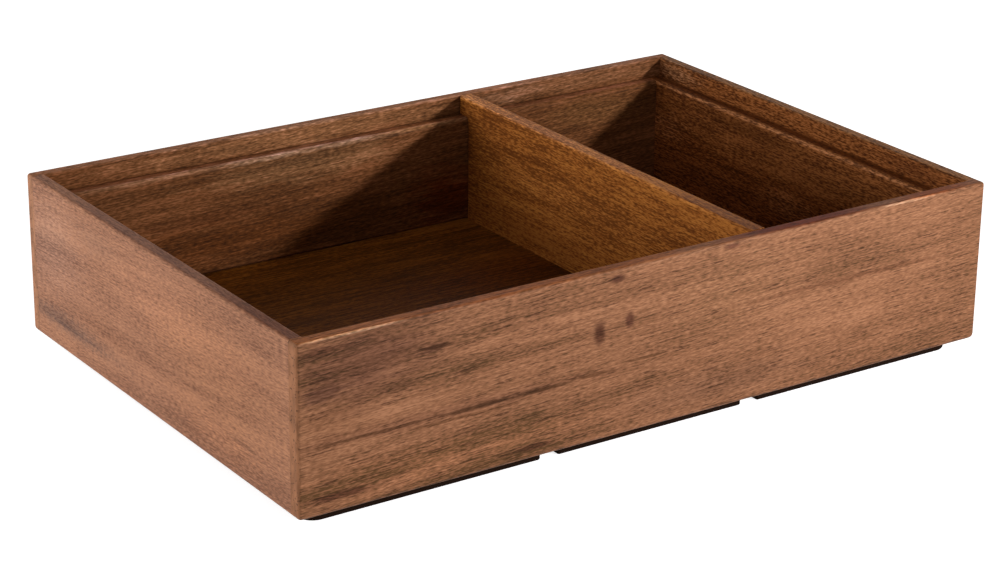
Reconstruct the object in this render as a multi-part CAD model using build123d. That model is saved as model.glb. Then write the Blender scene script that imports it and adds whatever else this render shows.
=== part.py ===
from build123d import *
import os

# Open wooden stacking box with two compartments: four profiled boards with lapped
# corners, a floor panel held in a groove, and one eared divider. Millimetres.
# X runs along the length, Y from front to back and Z up. The origin is the middle
# of the resting face, at the foot of the stacking lip.

# Overall size
length = 285.0
depth = 192.0
height = 65.0

# Boards
wall = 11.0               # thickness of the four boards
rim = 5.0                 # what the recess leaves of a board at its top
recess_depth = 7.5        # from the top of the rim down to the ledge
tongue = 5.0              # part of a long board that laps over the side boards' ends

# Stacking lip, which drops inside the rim of the box below
lip_height = 4.5
stack_clearance = 1.0     # between the lip and the rim that it drops into
lip_corner = 6.0          # radius of the lip's corners, seen from below

# Floor panel and its groove
floor_thickness = 6.0
floor_underside = 10.0    # height of the groove's lower face, on which the panel lies
groove_depth = 4.0
groove_slack = 0.4        # left over the panel, so that it can move in the groove
floor_edge_gap = 0.5      # room for the panel to swell, at each edge

# Divider
small_compartment = 86.0  # clear length of the compartment at the right
divider_thickness = 6.0
divider_end_gap = 0.2     # shadow gap at each end of the divider
notch_clearance = 1.0     # how much wider a notch in the lip is than a divider

# Eased edges
corner_radius = 1.2       # upright corners of the box
rim_edge = 1.1            # outer edge of the rim's top
recess_edge = 0.8         # inner edge of the rim's top
ledge_edge = 2.0          # inner edge of the ledge, and the divider's notches over it
foot_edge = 2.0           # bottom edge of the outer faces
lip_edge = 0.8            # foot of the lip
notch_edge = 1.0          # upright edges of the notches in the lip
divider_edge = 0.7        # edges of the divider that show

# Worked out from the sizes above
inner_length = length - 2 * wall
inner_depth = depth - 2 * wall
recess_length = length - 2 * rim
recess_width = depth - 2 * rim
ledge_height = height - recess_depth
lip_inset = rim + stack_clearance
floor_top = floor_underside + floor_thickness
divider_x = inner_length / 2 - small_compartment - divider_thickness / 2
notch_width = divider_thickness + notch_clearance


def slab(x_size, y_size, low, high, corner=0.0):
    """Upright block on the box's middle, between two heights, with rounded corners or none."""
    outline = RectangleRounded(x_size, y_size, corner) if corner else Rectangle(x_size, y_size)
    return extrude(Pos(0, 0, low) * outline, high - low)


def edges_within(solid, level, x_size, y_size):
    """Edges at one level whose middles lie in an x_size by y_size rectangle."""
    level_edges = solid.edges().filter_by_position(Axis.Z, level, level)
    level_edges = level_edges.filter_by_position(Axis.X, -x_size / 2, x_size / 2)
    return level_edges.filter_by_position(Axis.Y, -y_size / 2, y_size / 2)


def make_carcass():
    """The four boards as one glued-up frame, its edges eased after assembly."""
    frame = slab(length, depth, lip_height, height, corner_radius)
    frame += slab(length - 2 * lip_inset, depth - 2 * lip_inset, 0, lip_height, lip_corner)
    frame -= slab(inner_length, inner_depth, 0, height)
    frame -= slab(recess_length, recess_width, ledge_height, height)
    groove_length = inner_length + 2 * groove_depth
    groove_width = inner_depth + 2 * groove_depth
    frame -= slab(groove_length, groove_width, floor_underside, floor_top + groove_slack)

    # Ease the outer faces' bottom edge, the ledge and the rim.
    foot = frame.edges().filter_by_position(Axis.Z, lip_height, lip_height)
    foot -= edges_within(frame, lip_height, length - lip_inset, depth - lip_inset)
    frame = fillet(foot, foot_edge)
    frame = fillet(edges_within(frame, ledge_height, inner_length, inner_depth), ledge_edge)
    frame = fillet(edges_within(frame, height, recess_length, recess_width), recess_edge)
    rim_outline = frame.edges().filter_by_position(Axis.Z, height, height)
    rim_outline -= edges_within(frame, height, length - rim, depth - rim)
    frame = fillet(rim_outline, rim_edge)

    # A divider stands as high as the rim, so the lip is notched to straddle the one
    # below, at both ends alike, and the box can be stacked either way round.
    for x in (-divider_x, divider_x):
        frame -= Pos(x, 0, lip_height / 2) * Box(notch_width, depth, lip_height)
    reach = 2 * abs(divider_x) + 2 * notch_width
    upright = frame.edges().filter_by(Axis.Z).filter_by_position(Axis.X, -reach / 2, reach / 2)
    frame = fillet(upright.filter_by_position(Axis.Z, 0, lip_height), notch_edge)
    return fillet(edges_within(frame, 0, length, depth), lip_edge)


def part_boards(frame):
    """Part the frame at its lapped corners: the long boards' tongues cover the side boards."""
    side_length = depth - 2 * tongue
    side_x = (length - wall) / 2
    left_space = Pos(-side_x, 0, height / 2) * Box(wall, side_length, height)
    right_space = Pos(side_x, 0, height / 2) * Box(wall, side_length, height)
    front, back = (frame - left_space - right_space).solids().sort_by(Axis.Y)
    return {
        "front_wall": front,
        "back_wall": back,
        "left_wall": frame & left_space,
        "right_wall": frame & right_space,
    }


def make_floor_panel():
    """Panel that lies loose in the groove all round, with room to swell at its edges."""
    spare = 2 * (groove_depth - floor_edge_gap)
    return slab(inner_length + spare, inner_depth + spare, floor_underside, floor_top)


def make_divider():
    """Board across the box, with ears that fill the recess and sit on both ledges.

    Under each ear the board is notched over the ledge and follows its rounded edge.
    """
    body_width = inner_depth - 2 * divider_end_gap
    ear_width = recess_width - 2 * divider_end_gap
    half_outline = [
        (0, floor_top),
        (body_width / 2, floor_top),
        (body_width / 2, ledge_height),
        (ear_width / 2, ledge_height),
        (ear_width / 2, height),
        (0, height),
    ]
    half_face = make_face(Polyline(*half_outline, close=True))
    notch = half_face.vertices().filter_by_position(Axis.X, body_width / 2, body_width / 2)
    half_face = fillet(notch.filter_by_position(Axis.Y, ledge_height, ledge_height), ledge_edge)
    outline = Plane.YZ * (half_face + mirror(half_face, Plane.YZ))
    board = Pos(divider_x, 0, 0) * extrude(outline, divider_thickness / 2, both=True)
    faces = board.faces().filter_by(Axis.X)
    showing = [edge for edge in faces.edges() if edge.center().Z > floor_top]
    return fillet(showing, divider_edge)


pieces = part_boards(make_carcass())
pieces["floor_panel"] = make_floor_panel()
pieces["divider"] = make_divider()

os.makedirs("parts", exist_ok=True)
for name, piece in pieces.items():
    piece.label = name
    export_step(piece, f"parts/{name}.step")
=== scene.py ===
from math import cos, pi, radians, sin

import bpy
from mathutils import Matrix, Vector


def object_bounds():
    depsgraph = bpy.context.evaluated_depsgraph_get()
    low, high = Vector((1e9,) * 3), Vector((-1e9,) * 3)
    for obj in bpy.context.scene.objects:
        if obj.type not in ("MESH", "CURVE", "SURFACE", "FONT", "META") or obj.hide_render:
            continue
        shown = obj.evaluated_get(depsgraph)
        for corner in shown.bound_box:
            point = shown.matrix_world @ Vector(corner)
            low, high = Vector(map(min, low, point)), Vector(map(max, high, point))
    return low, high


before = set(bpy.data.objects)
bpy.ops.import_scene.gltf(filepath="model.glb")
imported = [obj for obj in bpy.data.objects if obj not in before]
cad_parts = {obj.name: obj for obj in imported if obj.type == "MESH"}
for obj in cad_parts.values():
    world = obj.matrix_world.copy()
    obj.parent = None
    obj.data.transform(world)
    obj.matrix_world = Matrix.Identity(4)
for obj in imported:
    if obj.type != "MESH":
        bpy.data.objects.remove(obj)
cad_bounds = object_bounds()


# Front board. A length of acacia, planed, profiled, lapped over the side boards and oiled to a
# satin sheen. Its grain climbs a little to the right, past grey heartwood at the left end, one
# long dark streak and a few pin knots.

# Faces of the box, levels on it, and how thick its boards and its rim are, in millimetres
left_face, front_face = (1000 * side for side in cad_bounds[0][:2])
right_face, back_face, rim_top = (1000 * side for side in cad_bounds[1])
over_rim = rim_top + 0.4
ledge = rim_top - 7.5
floor_top = 16
lip_top = 4.5
board = 11
rim = 5


def add(tree, kind, inputs=None, **settings):
    """A shader node with these settings, each input a value or another node's output."""
    node = tree.nodes.new(kind)
    for setting, value in settings.items():
        setattr(node, setting, value)
    for socket, value in (inputs or {}).items():
        if isinstance(value, bpy.types.NodeSocket):
            tree.links.new(value, node.inputs[socket])
        else:
            node.inputs[socket].default_value = value
    return node


def calc(tree, operation, *values):
    """A Math node's output."""
    return add(tree, "ShaderNodeMath", dict(enumerate(values)), operation=operation).outputs[0]


def vector(tree, operation, *values):
    """A Vector Math node's output."""
    node = add(tree, "ShaderNodeVectorMath", dict(enumerate(values)), operation=operation)
    return node.outputs["Value"] if operation == "LENGTH" else node.outputs["Vector"]


def coordinate(tree, place, axis):
    """One coordinate of a place: axis 0 is X, 1 is Y and 2 is Z."""
    return add(tree, "ShaderNodeSeparateXYZ", {0: place}).outputs[axis]


def box_place(tree):
    """Place on the box in millimetres, from the middle of its resting face."""
    here = add(tree, "ShaderNodeTexCoord").outputs["Object"]
    return vector(tree, "MULTIPLY", here, (1000, 1000, 1000))


def fade(tree, value, start, end, low=0.0, high=1.0):
    """Smooth change from low to high as the value goes from start to end."""
    limits = {"Value": value, "From Min": start, "From Max": end, "To Min": low, "To Max": high}
    return add(tree, "ShaderNodeMapRange", limits, interpolation_type="SMOOTHSTEP").outputs[0]


def blend(tree, share, first, second, kind="MIX"):
    """Two colours mixed, or the second laid over the first in another way.

    Sockets 6 and 7 are the ones for colours, as the Mix node has a pair for each data type.
    """
    inputs = {0: share, 6: first, 7: second}
    return add(tree, "ShaderNodeMix", inputs, data_type="RGBA", blend_type=kind).outputs[2]


def lumps(tree, place, size, detail=2.0, rough=0.5):
    """Noise whose lumps have this size in millimetres along each axis."""
    place = vector(tree, "MULTIPLY", place, [1 / side for side in size])
    inputs = {"Vector": place, "Scale": 1.0, "Detail": detail, "Roughness": rough}
    return add(tree, "ShaderNodeTexNoise", inputs).outputs[0]


def timber(name, turn, pith, tones, streaks, fibres, flecks, clouds, pores, calm=1.0):
    """Acacia in a dark, a middle and a light tone. Returns the material, its colour and its relief.

    The turn lays its grain along the board, and the pith of the log that it was sawn from lies
    this far from the box's middle, in millimetres. Streaks have a length, a width and a strength,
    of which the right-hand half keeps the share called calm. Fibres, flecks, clouds and pores
    are strengths.
    """
    material = bpy.data.materials.new(name)
    material.use_nodes = True
    tree = material.node_tree
    inputs = {"Vector": box_place(tree), "Rotation": turn, "Location": pith}
    grain = add(tree, "ShaderNodeMapping", inputs).outputs[0]
    along = coordinate(tree, grain, 0)

    # Growth rings round the pith, which wanders by a few millimetres, make the streaks.
    wander = calc(tree, "MULTIPLY", lumps(tree, grain, (170, 40, 40)), 12)
    across = vector(tree, "LENGTH", vector(tree, "MULTIPLY", grain, (0, 1, 1)))
    ring = calc(tree, "ADD", across, wander)
    ringed = add(tree, "ShaderNodeCombineXYZ", {0: along, 1: ring, 2: 0.0}).outputs[0]
    length, width, strength = streaks
    from_middle = calc(tree, "SUBTRACT", along, pith[0])
    strength = fade(tree, from_middle, -50, 30, strength, strength * calm)

    # The tone is the middle one, moved towards dark or light by each layer of the figure.
    thread = lumps(tree, grain, (16, 0.8, 0.8), 2, 0.6)
    layers = (
        (lumps(tree, ringed, (length, width, 1), 5, 0.6), strength),
        (thread, fibres),
        (lumps(tree, grain, (2.4, 0.5, 0.5), 1), flecks),
        (lumps(tree, grain, (70, 22, 22)), clouds),
    )
    tone = 0.5
    for layer, amount in layers:
        tone = calc(tree, "MULTIPLY_ADD", calc(tree, "SUBTRACT", layer, 0.5), amount, tone)
    ramp = add(tree, "ShaderNodeValToRGB", {0: tone})
    elements = ramp.color_ramp.elements
    elements.new(0.5)
    for element, position, rgb in zip(elements, (0.2, 0.5, 0.8), tones):
        element.position = position
        element.color = (*rgb, 1)

    # Pores are short dark grooves, crowded where the wood is darker.
    crowd = fade(tree, tone, 0.7, 0.3)
    dashes = calc(tree, "MULTIPLY_ADD", crowd, 0.08, lumps(tree, grain, (14, 0.45, 0.45), 1.5))
    dashes = fade(tree, dashes, 0.62, 0.70)
    dark = blend(tree, 1.0, ramp.outputs[0], (0.32, 0.28, 0.28, 1), "MULTIPLY")
    colour = blend(tree, calc(tree, "MULTIPLY", dashes, pores), ramp.outputs[0], dark)
    relief = calc(tree, "MULTIPLY", calc(tree, "SUBTRACT", thread, dashes), 0.03)
    return material, colour, relief


def stains_and_painted_light(material, colour, *marks, ragged, core):
    """Colour under marks, each with a middle and a size in millimetres and a tint.

    A tint under 1 darkens and one over 1 lightens. Ragged says how much the marks' edges are
    broken up, and core is the share of a mark's size within which it has its full strength.
    """
    tree = material.node_tree
    place = box_place(tree)
    edge = calc(tree, "SUBTRACT", lumps(tree, place, (14, 1.6, 1.6), 3, 0.6), 0.5)
    for middle, size, tint in marks:
        offset = vector(tree, "SUBTRACT", place, middle)
        offset = vector(tree, "MULTIPLY", offset, [2 / side for side in size])
        reach = calc(tree, "MULTIPLY_ADD", edge, 2 * ragged, vector(tree, "LENGTH", offset))
        colour = blend(tree, fade(tree, reach, 1.15, core), colour, (*tint, 1), "MULTIPLY")
    return colour


def end_grain(material, colour, tone):
    """Colour with the board's two ends in another tone, dotted with cut pores."""
    tree = material.node_tree
    place = box_place(tree)
    from_middle = calc(tree, "ABSOLUTE", coordinate(tree, place, 0))
    clouds = fade(tree, lumps(tree, place, (20, 2.5, 7)), 0.35, 0.65, 0.8, 1.2)
    dots = fade(tree, lumps(tree, place, (6, 0.9, 0.9), 1), 0.60, 0.72, 0, 0.8)
    cut = blend(tree, 1.0, (*tone, 1), clouds, "MULTIPLY")
    cut = blend(tree, dots, cut, (0.06, 0.028, 0.018, 1))
    return blend(tree, fade(tree, from_middle, right_face - 0.8, right_face - 0.2), colour, cut)


def oiled(material, colour, relief, roughness=0.5):
    """Oiled to a satin sheen, a little duller over open grain. The lip below is painted black as
    painted shade.
    """
    tree = material.node_tree
    lip = fade(tree, coordinate(tree, box_place(tree), 2), lip_top + 0.1, lip_top - 0.9)
    # Painted shade: the lip under the overhang is coloured near black
    colour = blend(tree, lip, colour, (0.010, 0.004, 0.002, 1))
    bump = add(tree, "ShaderNodeBump", {"Height": relief, "Distance": 0.001, "Strength": 0.7})
    sheen = fade(tree, lip, 0, 1, roughness + 0.03, 0.9)
    duller = calc(tree, "MULTIPLY_ADD", relief, -1.5, sheen)
    shader = tree.nodes["Principled BSDF"]
    shader.inputs["Specular IOR Level"].default_value = 0.05
    for socket, output in (("Base Color", colour), ("Roughness", duller), ("Normal", bump.outputs[0])):
        tree.links.new(output, shader.inputs[socket])
    return material


def finish_node(node, material):
    """Give a CAD piece this material."""
    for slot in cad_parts[node].material_slots:
        slot.material = material


front_rim = front_face + rim / 2
along_x = (0, radians(2.6), 0)
front_tones = ((0.08, 0.038, 0.015), (0.21, 0.09, 0.044), (0.35, 0.16, 0.083))
front, colour, relief = timber(
    "front_acacia", along_x, (0, 60, 85), front_tones, streaks=(160, 6, 0.9), fibres=0.6,
    flecks=0.85, clouds=0.6, pores=0.7, calm=0.4,
)
# Broad clouds, pale low at the left and over the middle, and dark below it and at the corner
colour = stains_and_painted_light(
    front, colour,
    ((-90, front_face, 13), (150, 20, 20), (1.36, 1.33, 1.3)),
    ((28, front_face, 47), (70, 20, 40), (1.12, 1.15, 1.15)),
    ((25, front_face, 14), (100, 20, 16), (0.82, 0.83, 0.86)),
    ((-128, front_face, 36), (34, 20, 16), (0.86, 0.84, 0.82)),
    ragged=0.8, core=0.1,
)
# Grey heartwood, with its smudges
colour = stains_and_painted_light(
    front, colour,
    ((-117, front_face, 54), (75, 30, 36), (0.64, 0.61, 0.66)),
    ragged=0.7, core=0.1,
)
colour = stains_and_painted_light(
    front, colour,
    ((-132.5, front_face, 46), (18, 20, 7), (0.6, 0.58, 0.62)),
    ((-91.5, front_face, 53.2), (18, 8, 1.8), (0.33, 0.3, 0.27)),
    ((-133, front_face, 60.6), (20, 10, 3.5), (0.68, 0.63, 0.64)),
    ragged=0.9, core=0.35,
)
# The long dark streak, in thin lengths that follow each other
colour = stains_and_painted_light(
    front, colour,
    ((-84, front_face, 29.5), (140, 20, 6), (0.8, 0.77, 0.78)),
    ((-112, front_face, 28.7), (56, 12, 1.5), (0.52, 0.5, 0.46)),
    ((-73, front_face, 28.6), (44, 12, 2.1), (0.36, 0.34, 0.3)),
    ((-78, front_face, 26.4), (56, 12, 1.4), (0.6, 0.57, 0.52)),
    ((-49, front_face, 28.7), (30, 12, 1.9), (0.42, 0.4, 0.35)),
    ((-30, front_face, 29.2), (22, 12, 2.1), (0.5, 0.47, 0.42)),
    ((-9, front_face, 30.8), (22, 12, 1.5), (0.52, 0.5, 0.45)),
    ragged=0.9, core=0.35,
)
# Shorter streaks with torn edges
colour = stains_and_painted_light(
    front, colour,
    ((80, front_face, 41), (110, 10, 2.2), (0.72, 0.68, 0.66)),
    ((-125, front_face, 10.5), (30, 10, 3.5), (0.45, 0.4, 0.42)),
    ((-54, front_face, 9), (20, 10, 3), (0.45, 0.4, 0.42)),
    ragged=1.1, core=0.35,
)
# Pin knots
colour = stains_and_painted_light(
    front, colour,
    ((-27.4, front_face, 43.6), (5.8, 14, 10.5), (0.34, 0.28, 0.28)),
    ((-15.1, front_face, 45.6), (4.5, 14, 7), (0.42, 0.35, 0.38)),
    ((-20.5, front_face, 61.4), (7, 10, 3.4), (0.45, 0.38, 0.42)),
    ((27.5, front_face, 63.4), (8, 10, 2.2), (0.5, 0.42, 0.46)),
    ragged=0.3, core=0.35,
)
# The rim's top, dark red and paler at its left end, its tints partly painted light and sheen
colour = stains_and_painted_light(
    front, colour,
    ((-80, front_rim, over_rim), (290, 9, 2.6), (1.04, 0.7, 0.38)),
    ((-125, front_rim, over_rim), (70, 9, 2.6), (1.6, 1.65, 1.5)),
    ((-100, front_rim, over_rim), (120, 9, 2.6), (1.08, 1.2, 1.6)),
    ((60, front_rim, over_rim), (90, 9, 2.4), (0.46, 0.2, 0.15)),
    ((120, front_rim, over_rim), (50, 9, 2.4), (0.92, 0.56, 0.35)),
    ragged=0.3, core=0.45,
)
# The outer edge near both ends, paler from wear and from a painted highlight
colour = stains_and_painted_light(
    front, colour,
    ((-121, front_face + 0.2, rim_top - 0.3), (40, 1.0, 1.0), (2.1, 2.7, 3.2)),
    ragged=0.3, core=0.8,
)
colour = stains_and_painted_light(
    front, colour,
    ((108, front_face + 0.2, rim_top - 0.4), (30, 1.2, 1.1), (2.0, 2.4, 2.8)),
    ragged=0.3, core=0.5,
)
colour = end_grain(front, colour, (0.31, 0.135, 0.066))
finish_node("front_wall", oiled(front, colour, relief))


# Back board. The same section, laps and finish from a darker length with long streaks. Painted
# light and sheen make its rim and its ledge's edge paler than its face, and painted shade lies along
# the floor.

back_inside = back_face - board
back_rim = back_face - rim / 2
back_tones = ((0.05, 0.017, 0.005), (0.13, 0.046, 0.014), (0.26, 0.095, 0.037))
back, colour, relief = timber(
    "back_acacia", along_x, (400, -70, 60), back_tones, streaks=(260, 5, 0.65), fibres=0.65,
    flecks=0.95, clouds=0.6, pores=0.2,
)
# The face below the ledge: painted light near the top, painted shade low down and in the divider's
# shadow, and two darker clouds
colour = stains_and_painted_light(
    back, colour,
    ((-34, back_inside, 52), (100, 16, 16), (1.8, 2.25, 2.9)),
    ((-60, back_inside, 27), (230, 16, 26), (0.7, 0.6, 0.42)),
    ((-75, back_inside, 38), (90, 16, 8), (0.7, 0.65, 0.58)),
    ((-116, back_inside, 50), (50, 16, 20), (0.8, 0.82, 0.8)),
    ((32, back_inside, 27), (50, 16, 34), (0.65, 0.36, 0.15)),
    ragged=0.8, core=0.1,
)
# The rim's inner face, and the face below it at the right, both paler with painted light
colour = stains_and_painted_light(
    back, colour,
    ((-30, back_face - rim + 0.5, 61.5), (190, 5, 10), (2.2, 2.65, 3.4)),
    ((62, back_face - rim + 0.5, 61.5), (36, 5, 10), (1.3, 1.45, 1.8)),
    ((100, back_face - rim + 0.5, 61.5), (110, 5, 10), (1.6, 1.85, 2.4)),
    ((100, back_inside, 50), (60, 16, 16), (1.2, 1.35, 1.4)),
    ragged=0.6, core=0.2,
)
# Painted light on the ledge, a painted highlight on its rounded edge, and painted sheen on the rim's
# top
colour = stains_and_painted_light(
    back, colour,
    ((-40, back_inside + 1, ledge - 0.3), (220, 3.0, 3.0), (2.2, 2.8, 4.2)),
    ((22, back_inside + 2, ledge - 0.3), (50, 5, 2.8), (1.4, 1.4, 1.25)),
    ((0, back_inside + 3.2, ledge - 0.3), (500, 4.4, 2.2), (2.3, 2.4, 3.2)),
    ((0, back_rim, over_rim), (500, 9, 2.4), (2.5, 2.9, 4.2)),
    ragged=0.3, core=0.5,
)
# Painted shade where the floor panel meets the board
colour = stains_and_painted_light(
    back, colour,
    ((-60, back_inside + 0.4, floor_top + 0.4), (260, 2.4, 1.4), (0.3, 0.25, 0.22)),
    ragged=0.2, core=0.5,
)
colour = end_grain(back, colour, (0.36, 0.17, 0.095))
finish_node("back_wall", oiled(back, colour, relief, 0.6))


# Left board. Acacia again, cut to fit between the long boards' tongues and glued there. It is paler
# and pinker, mottled rather than streaked, with a grey band low down and a painted sheen at its back.

left_rim = left_face + rim / 2
left_turn = (radians(4), 0, radians(-90))
left_tones = ((0.2, 0.088, 0.05), (0.34, 0.155, 0.088), (0.47, 0.22, 0.12))
left, colour, relief = timber(
    "left_acacia", left_turn, (900, 80, 70), left_tones, streaks=(300, 8, 1.0), fibres=0.7,
    flecks=1.3, clouds=0.5, pores=0.12,
)
# Long soft bands, golden towards the front, and pinker towards the back with a painted sheen
colour = stains_and_painted_light(
    left, colour,
    ((left_face, 80, 42), (10, 80, 60), (1.0, 1.02, 1.08)),
    ((left_face, 78, 44), (10, 60, 50), (1.08, 1.15, 1.22)),
    ((left_face, 42, 55), (10, 40, 16), (0.87, 0.9, 0.95)),
    ((left_face, 36, 24), (10, 110, 12), (0.88, 0.86, 0.84)),
    ((left_face, 72, 16), (10, 120, 11), (0.66, 0.72, 0.81)),
    ((left_face, -15, 47), (10, 110, 30), (1.15, 1.14, 1.13)),
    ((left_face, -50, 34), (10, 130, 60), (1.0, 0.975, 0.91)),
    ((left_face, -58, 43), (10, 56, 12), (0.92, 0.91, 0.93)),
    ((left_face, -45, 14), (10, 70, 16), (1.15, 1.13, 1.1)),
    ragged=0.8, core=0.1,
)
# Two thin dark streaks low down
colour = stains_and_painted_light(
    left, colour,
    ((left_face, 62, 15.2), (10, 52, 2.0), (0.74, 0.78, 0.84)),
    ((left_face, -61, 18), (10, 26, 1.8), (0.68, 0.68, 0.7)),
    ragged=0.9, core=0.35,
)
# The rim's top, painted shade and light: darker, most of all towards the front, and paler at the back
colour = stains_and_painted_light(
    left, colour,
    ((left_rim, 0, over_rim), (8, 500, 2.4), (0.72, 0.68, 0.7)),
    ((left_rim, -80, over_rim), (8, 90, 2.4), (0.65, 0.53, 0.46)),
    ((left_rim, 85, over_rim), (8, 70, 2.4), (1.25, 1.25, 1.15)),
    ragged=0.3, core=0.4,
)
finish_node("left_wall", oiled(left, colour, relief))


# Right board. Cut and glued as the left one, from golden brown acacia that is closely flecked
# where the saw met the rays.

right_inside = right_face - board
right_rim = right_face - rim / 2
along_y = (0, 0, radians(-90))
right_tones = ((0.077, 0.022, 0.005), (0.21, 0.066, 0.016), (0.375, 0.13, 0.036))
right, colour, relief = timber(
    "right_acacia", along_y, (1300, 75, -90), right_tones, streaks=(30, 3, 0.5), fibres=1.1,
    flecks=1.9, clouds=0.4, pores=0.1,
)
# Painted light over the lower face, and a rim face with a painted sheen at its back and darker at its
# front
colour = stains_and_painted_light(
    right, colour,
    ((right_inside, 45, 37), (10, 220, 20), (1.45, 1.5, 1.5)),
    ((right_inside, 78, 40), (8, 34, 14), (1.5, 1.7, 2.2)),
    ((right_inside, 0, 29), (8, 40, 14), (1.4, 1.6, 2.0)),
    ((right_face - rim, 82, 61), (6, 44, 9), (1.35, 1.8, 3.0)),
    ((right_face - rim, -65, 61), (6, 50, 9), (0.75, 0.7, 0.7)),
    ragged=0.8, core=0.1,
)
# Painted shade under the ledge
colour = stains_and_painted_light(
    right, colour,
    ((right_inside, 24, 53), (8, 90, 8), (0.62, 0.6, 0.55)),
    ragged=0.6, core=0.2,
)
# Painted shadow on the ledge, a painted highlight on its edge, and painted sheen on the rim's top
colour = stains_and_painted_light(
    right, colour,
    ((right_inside + 3.5, 0, ledge + 0.2), (4.6, 400, 1.6), (0.5, 0.4, 0.3)),
    ((right_inside + 0.5, 0, ledge - 0.6), (1.5, 400, 1.5), (1.7, 2.0, 2.8)),
    ((right_rim, 0, over_rim), (8, 500, 2.4), (1.05, 1.3, 1.6)),
    ragged=0.3, core=0.5,
)
finish_node("right_wall", oiled(right, colour, relief))


# Floor panel. Thin dark acacia that lies loose in the boards' groove, so that it can swell,
# with its grain along the box.

floor_tones = ((0.062, 0.019, 0.0022), (0.145, 0.041, 0.005), (0.25, 0.083, 0.012))
panel, colour, relief = timber(
    "floor_acacia", (0, 0, 0), (1700, 30, 110), floor_tones, streaks=(140, 6, 1.0), fibres=1.7,
    flecks=1.6, clouds=0.6, pores=0.6,
)
# Painted light along the back, and painted shade, redder, over the middle
colour = stains_and_painted_light(
    panel, colour,
    ((-10, 80, floor_top), (220, 36, 8), (1.4, 1.45, 1.4)),
    ((20, 25, floor_top), (170, 60, 8), (0.6, 0.46, 0.25)),
    ragged=0.8, core=0.1,
)
finish_node("floor_panel", oiled(panel, colour, relief))


# Divider. A thin board of golden acacia sapwood with fine straight lines. Its ears rest on the
# front and back ledges, and it is glued there.

divider_face = 39.5
divider_middle = divider_face + 3
divider_tones = ((0.15, 0.044, 0.008), (0.32, 0.10, 0.018), (0.49, 0.18, 0.034))
divider, colour, relief = timber(
    "divider_acacia", along_y, (2100, 90, 50), divider_tones, streaks=(90, 4, 0.8), fibres=1.3,
    flecks=1.75, clouds=0.6, pores=0.2,
)
# Painted light high on the left face, over painted shade lower down
colour = stains_and_painted_light(
    divider, colour,
    ((divider_face, 15, 44), (10, 120, 16), (1.2, 1.26, 1.35)),
    ((divider_face, 32, 23), (10, 120, 18), (0.78, 0.73, 0.72)),
    ragged=0.8, core=0.1,
)
# The top with a painted sheen, greyer and paler towards the back and darker at its front, and its worn
# left edge with a painted highlight
colour = stains_and_painted_light(
    divider, colour,
    ((divider_middle, 75, over_rim), (9, 240, 2.4), (1.8, 2.1, 3.8)),
    ((divider_middle, 78, over_rim), (9, 80, 2.4), (1.25, 1.25, 1.1)),
    ((divider_middle, -80, over_rim), (9, 100, 2.4), (0.55, 0.5, 0.5)),
    ragged=0.5, core=0.2,
)
colour = stains_and_painted_light(
    divider, colour,
    ((divider_face + 0.1, 10, rim_top - 0.4), (1.8, 200, 1.8), (1.4, 1.5, 1.8)),
    ragged=0.6, core=0.4,
)
finish_node("divider", oiled(divider, colour, relief))


# Studio. A white paper floor under a white sky, and a long lens. A small lamp stands low at the
# front right, and large softboxes at the left, the front and the back.

def seen_white(tree):
    """1 for what the camera sees straight, mirrored or through glass, and 0 for other light."""
    path = add(tree, "ShaderNodeLightPath")
    seen = calc(tree, "MAXIMUM", path.outputs["Is Camera Ray"], path.outputs["Is Glossy Ray"])
    return calc(tree, "MAXIMUM", seen, path.outputs["Is Transmission Ray"])


bpy.ops.mesh.primitive_plane_add(size=6)
floor = bpy.context.object
floor.name = "studio_floor"
paper = bpy.data.materials.new("white_paper")
paper.use_nodes = True
tree = paper.node_tree
tree.nodes.clear()
diffuse = add(tree, "ShaderNodeBsdfDiffuse", {"Color": (0.8, 0.8, 0.8, 1)})
# Away from the lamps the paper is a little brighter by itself, so that it stays white
paper_level = fade(tree, vector(tree, "LENGTH", box_place(tree)), 500, 1500, 0.8, 0.9)
seen_level = calc(tree, "MULTIPLY", seen_white(tree), paper_level)
glow = add(tree, "ShaderNodeEmission", {"Color": (1, 1, 1, 1), "Strength": seen_level})
both = add(tree, "ShaderNodeAddShader", {0: diffuse.outputs[0], 1: glow.outputs[0]})
add(tree, "ShaderNodeOutputMaterial", {"Surface": both.outputs[0]})
floor.data.materials.append(paper)

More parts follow.
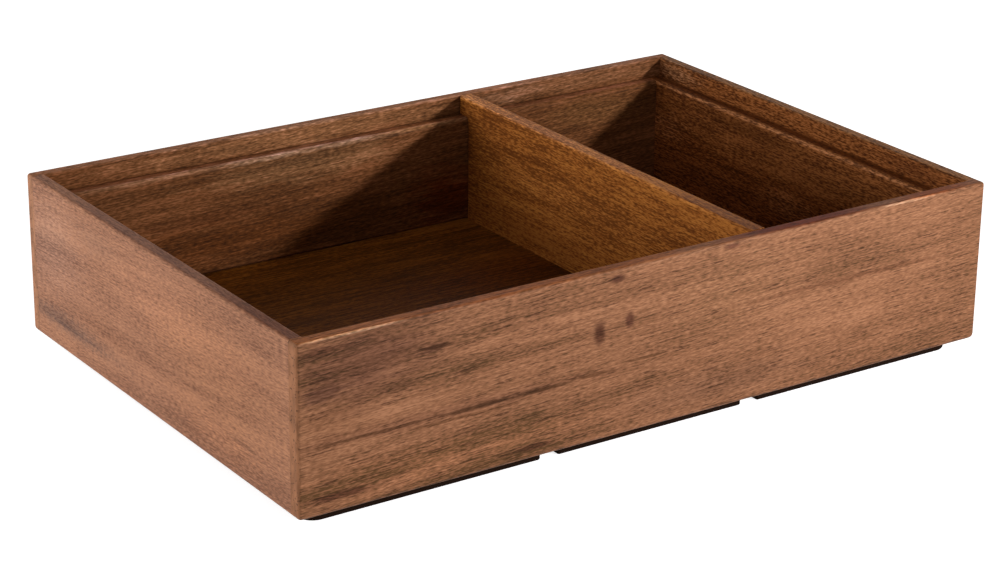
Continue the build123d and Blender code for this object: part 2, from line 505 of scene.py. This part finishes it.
world = bpy.data.worlds.new("studio")
bpy.context.scene.world = world
world.use_nodes = True
tree = world.node_tree
sky_level = 0.15
background = tree.nodes["Background"]
background.inputs["Color"].default_value = (1, 1, 1, 1)
tree.links.new(calc(tree, "MAXIMUM", seen_white(tree), sky_level), background.inputs["Strength"])


def lamp(name, azimuth, elevation, distance, width, height, level):
    """An area lamp aimed at the box. At a level of 1, it lights a white face fully white.

    Azimuth 0 is in front of the box and 90 at its right. Distance, width and height are in metres.
    """
    box_middle = Vector((0, 0, 0.03))
    flat = Vector((sin(radians(azimuth)), -cos(radians(azimuth)), 0))
    outward = flat * cos(radians(elevation)) + Vector((0, 0, sin(radians(elevation))))
    data = bpy.data.lights.new(name, "AREA")
    data.shape = "RECTANGLE"
    data.size = width
    data.size_y = height
    data.energy = level * pi * pi * distance * distance
    area_lamp = bpy.data.objects.new(name, data)
    bpy.context.scene.collection.objects.link(area_lamp)
    area_lamp.location = outward * distance + box_middle
    area_lamp.rotation_euler = outward.to_track_quat("Z", "Y").to_euler()
    area_lamp.visible_camera = False
    return area_lamp


lamp("key", 28, 14.5, 0.9, 0.04, 0.04, 0.9)
lamp("left_softbox", -110, 10, 1.0, 0.5, 0.35, 0.6)
lamp("front_softbox", -20, 15, 1.2, 0.8, 0.5, 0.14)
back_softbox = lamp("back_softbox", 180, 6, 1.2, 0.8, 0.3, 0.45)
back_softbox.visible_glossy = False

# The camera stands a metre away at the front left, and is rolled a little
view_from = Vector((-0.5413, -0.79356, 0.39488))
view_to = Vector((-0.0029, -0.00117, 0.02331)) - view_from
roll = radians(0.622)
camera_data = bpy.data.cameras.new("camera")
camera_data.lens = 102.007
camera = bpy.data.objects.new("camera", camera_data)
bpy.context.scene.collection.objects.link(camera)
camera.location = view_from
level_view = view_to.to_track_quat("-Z", "Y").to_matrix()
camera.rotation_euler = (level_view @ Matrix.Rotation(roll, 3, "Z")).to_euler()
bpy.context.scene.camera = camera
bpy.context.scene.view_settings.view_transform = "Standard"
